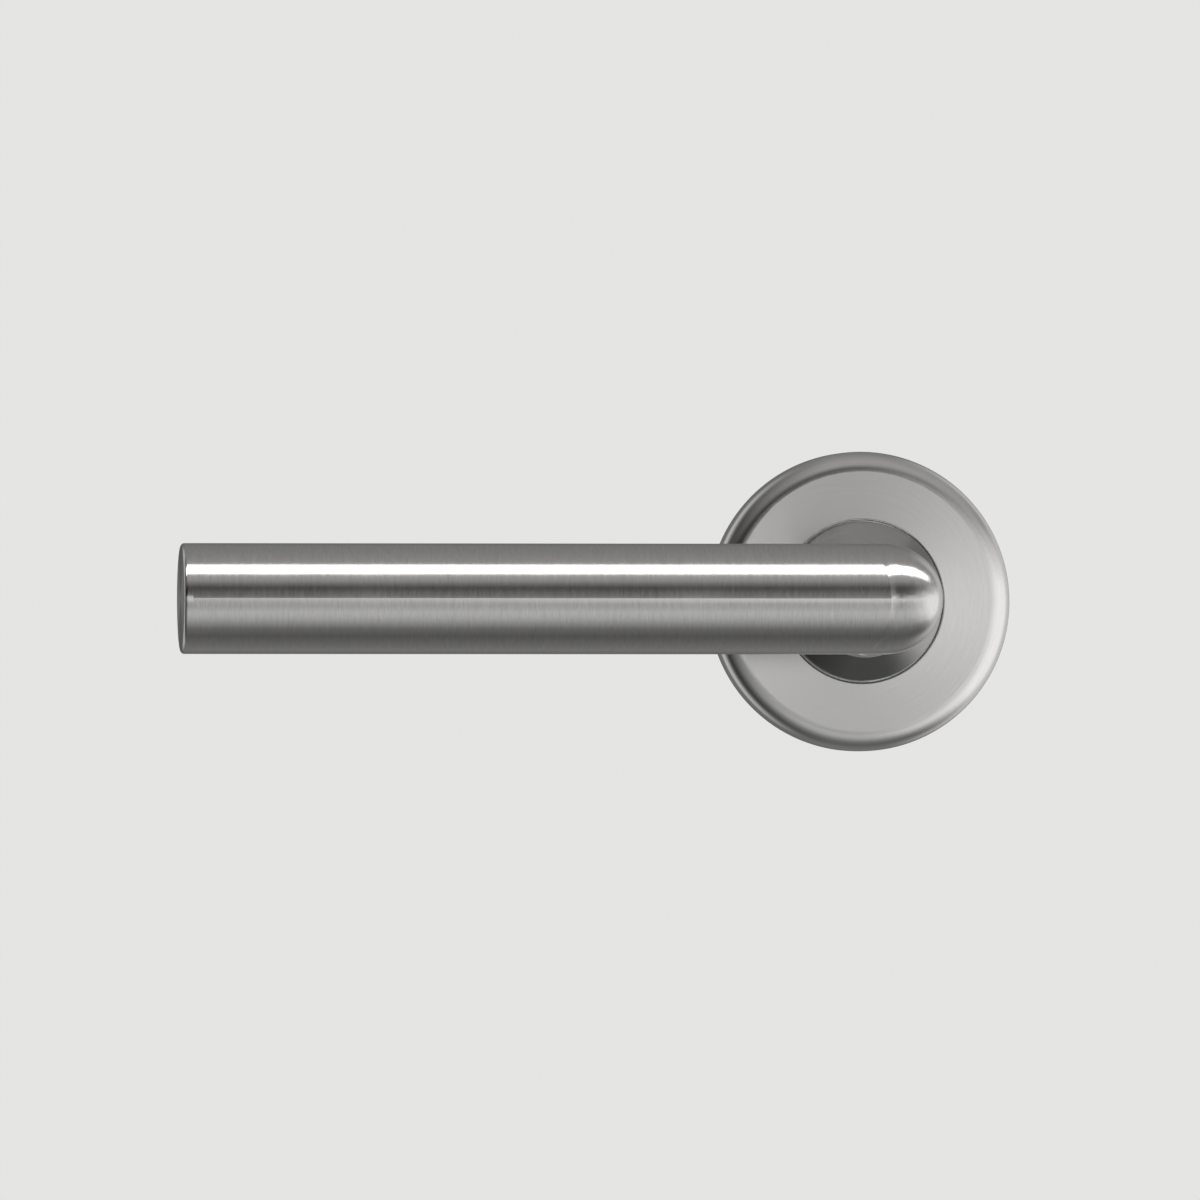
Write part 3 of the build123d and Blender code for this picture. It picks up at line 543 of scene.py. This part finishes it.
finishes = {
    "rose_cover": steel_rose_painted_light,
    "neck_hub": steel_hub_painted_shade,
    "neck_tube": steel_neck,
    "grip_tube": steel_grip,
    "end_cap": steel_grip,
    "base_plate": zinc,
    "rear_bush": nylon,
    "front_bush": nylon,
    "cover_o_ring": rubber,
    "spring_cover_plate": plated,
    "cover_plate_screws": plated,
    "through_bolts": plated,
    "wood_screws": plated,
    "thrust_washer": plated,
    "spindle": plated_bar,
    "return_spring": spring_wire,
    "spring_washer": spring_wire,
    "spring_driver": sintered,
    "circlip": phosphate,
    "grub_screw": phosphate,
}
for node_name, finish in finishes.items():
    for material_slot in nodes[node_name].material_slots:
        material_slot.material = finish


# ---- bolts and wood screws, with real threads ----------------------------------------------

bolt_low, bolt_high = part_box("through_bolts")
wood_low, wood_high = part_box("wood_screws")
FIXING_RADIUS = (bolt_high.z - bolt_low.z) / 2 - (bolt_high.x - bolt_low.x) / 2
SEAT = -4.4 * MM

# A head's outline starts this far from its middle, and its rear edge is broken this much.
HEAD_CENTRE = 0.02 * MM
HEAD_REAR_BEVEL = 0.12 * MM
HEAD_EDGE_STEPS = 6

BOLT_HEAD = 3.5 * MM
BOLT_HEAD_EDGE = 0.7 * MM
BOLT_CROSS = (4.2 * MM, 1.0 * MM, 1.7 * MM)
M4_CREST = 2.0 * MM
M4_ROOT = 1.58 * MM
M4_PITCH = 0.7 * MM
M4_START = 10.0 * MM
UNDERCUT = 1.55 * MM
UNDERCUT_START = 9.2 * MM
CHAMFER = 0.45 * MM

WOOD_HEAD = 3.2 * MM
WOOD_HEAD_EDGE = 0.85 * MM
WOOD_CROSS = (3.4 * MM, 0.9 * MM, 1.4 * MM)
WOOD_SHANK = 1.5 * MM
WOOD_CREST = 1.75 * MM
WOOD_ROOT = 1.12 * MM
WOOD_PITCH = 1.6 * MM
WOOD_START = 1.0 * MM
WOOD_POINT = 4.0 * MM
WOOD_TIP = 0.15 * MM


def rounded_head(front, seat, radius, edge, shank_radius):
    """The outline of a head with a rounded front edge, from its front to the shank."""
    outline = [(front, HEAD_CENTRE), (front, radius - edge)]
    for step in range(1, HEAD_EDGE_STEPS + 1):
        angle = math.pi / 2 * step / HEAD_EDGE_STEPS
        outline.append((front + edge * (1 - math.cos(angle)), radius - edge + edge * math.sin(angle)))
    outline.append((seat - HEAD_REAR_BEVEL, radius))
    outline.append((seat, radius - HEAD_REAR_BEVEL))
    outline.append((seat, shank_radius))
    return outline


bolt_outline = rounded_head(bolt_low.y, SEAT, BOLT_HEAD, BOLT_HEAD_EDGE, M4_CREST)
bolt_outline += [(UNDERCUT_START, M4_CREST), (UNDERCUT_START, UNDERCUT)]
for side_name, side in (("upper", 1), ("lower", -1)):
    bolt = screw(
        f"through_bolt_{side_name}",
        place=(0, side * FIXING_RADIUS),
        pitch=M4_PITCH,
        crest=M4_CREST,
        root=M4_ROOT,
        thread=(M4_START, bolt_high.y - CHAMFER),
        shank_radius=UNDERCUT,
        head=bolt_outline,
        point=[(bolt_high.y, M4_CREST - CHAMFER)],
        cross=BOLT_CROSS,
        material=plated,
    )
    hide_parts("through_bolts")

for side_name, side in (("left", -1), ("right", 1)):
    wood_screw = screw(
        f"wood_screw_{side_name}",
        place=(side * FIXING_RADIUS, 0),
        pitch=WOOD_PITCH,
        crest=WOOD_CREST,
        root=WOOD_ROOT,
        thread=(WOOD_START, wood_high.y - WOOD_POINT),
        shank_radius=WOOD_SHANK,
        head=rounded_head(wood_low.y, SEAT, WOOD_HEAD, WOOD_HEAD_EDGE, WOOD_SHANK),
        point=[(wood_high.y, WOOD_TIP)],
        cross=WOOD_CROSS,
        material=plated,
    )
    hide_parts("wood_screws")


# ---- return spring -------------------------------------------------------------------------
# One length of wire: the fixed leg in from the chamber wall, a bend, the coil, a bend, and the
# moving leg in to the driver. Each point of the coil is given its share of the lever's turn, which
# nothing uses.

WIRE = 0.7 * MM
COIL = 12.9 * MM
COIL_REAR_Y = -5.15 * MM
COIL_FRONT_Y = -7.05 * MM
COIL_TURNS = 1.25
FIXED_LEG_ANGLE = math.radians(114)
FIXED_LEG_END = 18.5 * MM
MOVING_LEG_END = 8.95 * MM
BEND = 1.7 * MM
BEND_STEPS = 8
COIL_STEPS = 120


def polar(radius, angle, y):
    return Vector((radius * math.cos(angle), y, radius * math.sin(angle)))


def curved(start, corner, end):
    """Points along a bend from start to end that is drawn towards corner."""
    points = []
    for step in range(1, BEND_STEPS):
        t = step / BEND_STEPS
        points.append(start * (1 - t) ** 2 + corner * (2 * t * (1 - t)) + end * t**2)
    return points


def spring_path():
    """The wire's centreline, and for each point its share of the lever's turn."""
    bend_arc = BEND / COIL
    coil_arc = 2 * math.pi * COIL_TURNS
    moving_leg_angle = FIXED_LEG_ANGLE + coil_arc
    coil_shares = [step / COIL_STEPS for step in range(COIL_STEPS + 1)]
    coil = []
    for share in coil_shares:
        angle = FIXED_LEG_ANGLE + bend_arc + (coil_arc - 2 * bend_arc) * share
        coil.append(polar(COIL, angle, COIL_REAR_Y + (COIL_FRONT_Y - COIL_REAR_Y) * share))
    fixed_leg = [
        polar(FIXED_LEG_END, FIXED_LEG_ANGLE, COIL_REAR_Y),
        polar(COIL + BEND, FIXED_LEG_ANGLE, COIL_REAR_Y),
    ]
    moving_leg = [
        polar(COIL - BEND, moving_leg_angle, COIL_FRONT_Y),
        polar(MOVING_LEG_END, moving_leg_angle, COIL_FRONT_Y),
    ]
    rear_bend = curved(fixed_leg[-1], polar(COIL, FIXED_LEG_ANGLE, COIL_REAR_Y), coil[0])
    front_bend = curved(coil[-1], polar(COIL, moving_leg_angle, COIL_FRONT_Y), moving_leg[0])
    path = fixed_leg + rear_bend + coil + front_bend + moving_leg
    still = [0.0] * (len(fixed_leg) + len(rear_bend))
    moving = [1.0] * (len(front_bend) + len(moving_leg))
    return path, still + coil_shares + moving


path, turn_shares = spring_path()
spring_mesh = wire_mesh(path, WIRE, WIRE_SIDES)
spring = new_piece("return_spring_wire", spring_mesh, spring_wire, WIRE_EDGE)
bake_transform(spring)
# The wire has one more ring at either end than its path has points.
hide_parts("return_spring")


# ---- floor, light and camera ---------------------------------------------------------------

# The floor is further down than the camera's distance, so the handle can be seen from below.
FLOOR_LEVEL = -4.6
FLOOR_RADIUS = 2.4
FLOOR_SIDES = 96
FLOOR_GLOW = 0.6
BACKGROUND = (0.783, 0.783, 0.768, 1)

# Each pair is where a fade starts and where it is complete: for a part of the direction or, in
# WINDOW_FADE, for how nearly the direction is WINDOW_WAY.
DARK_SIDE_FADE = (-0.80, -0.12)
WINDOW_FADE = (0.42, 0.85)
WINDOW_TOP_FADE = (0.10, 0.50)
WINDOW_FOOT_FADE = (-0.95, -0.60)
PANEL_REAR_FADE = (0.15, 0.50)
PANEL_SIDE_FADE = (0.25, 0.60)

DARK_SIDE_SHARE = 0.20
WINDOW_WAY = (0.93, -0.37, 0.0)
WINDOW_BRIGHTNESS = 1.2
PANEL_BRIGHTNESS = 0.70


def pale_floor():
    mesh = bpy.data.meshes.new("floor")
    build = bmesh.new()
    bmesh.ops.create_circle(build, cap_ends=True, segments=FLOOR_SIDES, radius=FLOOR_RADIUS)
    build.to_mesh(mesh)
    build.free()
    floor = bpy.data.objects.new("floor", mesh)
    floor.location = (0, 0, FLOOR_LEVEL)
    bpy.context.scene.collection.objects.link(floor)
    m = Material("pale_floor", metallic=0.0, specular=0.2)
    tone = m.noise(m.place, 3.0)
    m.shader.inputs["Emission Color"].default_value = grey(0.78, 0.01)
    m.shader.inputs["Emission Strength"].default_value = FLOOR_GLOW
    mesh.materials.append(m.finish(m.mix(tone, grey(0.74), grey(0.78)), 0.8))
    floor.visible_glossy = False


def studio_world():
    """A soft room round the object: how bright it is depends on the height angle, measured
    about the X axis from the room side. The left side is darker, a window stands to the right,
    and two soft panels stand behind the handle, one to each side."""
    world = bpy.data.worlds.new("studio")
    bpy.context.scene.world = world
    world.use_nodes = True
    n = Nodes(world.node_tree)
    direction = n.add("ShaderNodeTexCoord").outputs["Generated"]
    x, y, z = n.separate(direction)
    height_angle = n.math("ARCTAN2", z, n.math("MULTIPLY", y, -1.0))
    place = n.spread(height_angle, -math.pi, math.pi)

    def at(degrees, brightness, warmth=0.0):
        return ((degrees + 180) / 360, grey(brightness, warmth))

    # from behind the handle, under it, out to the room, over it and back
    room = [
        at(-180, 0.10),
        at(-135, 0.25),
        at(-85, 0.13),
        at(-66, 0.20),
        at(-40, 0.56, -0.01),
        at(-29, 0.62, -0.01),
        at(-16, 0.40, -0.01),
        at(-9, 0.42, -0.01),
        at(-4, 0.80),
        at(3, 0.82),
        at(6.5, 0.05, 0.02),
        at(22, 0.03, 0.02),
        at(39, 0.42, 0.02),
        at(60, 0.46, 0.02),
        at(110, 0.31),
        at(140, 0.26),
        at(180, 0.10),
    ]
    side_share = n.spread(x, *DARK_SIDE_FADE, DARK_SIDE_SHARE, 1.0)
    lit = n.vector("SCALE", n.ramp(place, room), scale=side_share)

    window_side = n.vector("DOT_PRODUCT", direction, WINDOW_WAY)
    window_top = n.spread(z, *WINDOW_TOP_FADE, 1.0, 0.0)
    window_foot = n.spread(z, *WINDOW_FOOT_FADE)
    window = n.math("MULTIPLY", n.spread(window_side, *WINDOW_FADE), window_top)
    window = n.math("MULTIPLY", window, window_foot)
    lit = n.mix(window, lit, grey(WINDOW_BRIGHTNESS))

    behind = n.spread(y, *PANEL_REAR_FADE)
    to_a_side = n.spread(n.math("ABSOLUTE", x), *PANEL_SIDE_FADE)
    lit = n.mix(n.math("MULTIPLY", behind, to_a_side), lit, grey(PANEL_BRIGHTNESS))

    background = world.node_tree.nodes["Background"]
    seen = n.add("ShaderNodeLightPath").outputs["Is Camera Ray"]
    n.feed(background.inputs["Color"], n.mix(seen, lit, BACKGROUND))


def strip_light(name, height_angle, distance, length, width, radiance):
    """A long soft light over the grip, this many degrees above level on the room side."""
    data = bpy.data.lights.new(name, "AREA")
    data.shape = "RECTANGLE"
    data.size = length
    data.size_y = width
    data.energy = radiance * math.pi * length * width
    light = bpy.data.objects.new(name, data)
    angle = math.radians(height_angle)
    away = Vector((0, -math.cos(angle), math.sin(angle)))
    light.location = GRIP_AXIS_POINT + away * distance
    light.rotation_mode = "QUATERNION"
    light.rotation_quaternion = away.to_track_quat("Z", "Y")
    bpy.context.scene.collection.objects.link(light)
    light.visible_camera = False
    return light


def keep_off(light, objects):
    """Stops a light from reaching some objects, as a flag does in a studio."""
    flagged = bpy.data.collections.new(light.name + "_flagged")
    light.light_linking.receiver_collection = flagged
    for thing in objects:
        flagged.objects.link(thing)
    for member in flagged.collection_objects:
        member.light_linking.link_state = "EXCLUDE"


CAMERA_PLACE = Vector((-0.43, -4.3, -0.04))
VIEW_WIDTH = 0.207
VIEW_CENTRE = Vector((-0.0475, -0.03, 0.0))
NEAREST_SEEN = 0.05
FARTHEST_SEEN = 50.0


def eye_level_camera():
    """The camera stands as far from the handle as a person across the room, a little to the
    left of it and level with it."""
    data = bpy.data.cameras.new("camera")
    camera = bpy.data.objects.new("camera", data)
    bpy.context.scene.collection.objects.link(camera)
    camera.location = CAMERA_PLACE
    away = CAMERA_PLACE - VIEW_CENTRE
    camera.rotation_mode = "QUATERNION"
    camera.rotation_quaternion = away.to_track_quat("Z", "Y")
    data.lens = data.sensor_width * away.length / VIEW_WIDTH
    data.clip_start = NEAREST_SEEN
    data.clip_end = FARTHEST_SEEN
    bpy.context.scene.camera = camera


pale_floor()
studio_world()
ceiling_strip = strip_light(
    "ceiling_strip",
    height_angle=63.5,
    distance=1.6,
    length=2.6,
    width=0.58,
    radiance=3.6,
)
keep_off(ceiling_strip, [nodes["rose_cover"]])
eye_level_camera()
bpy.context.scene.view_settings.view_transform = "Standard"
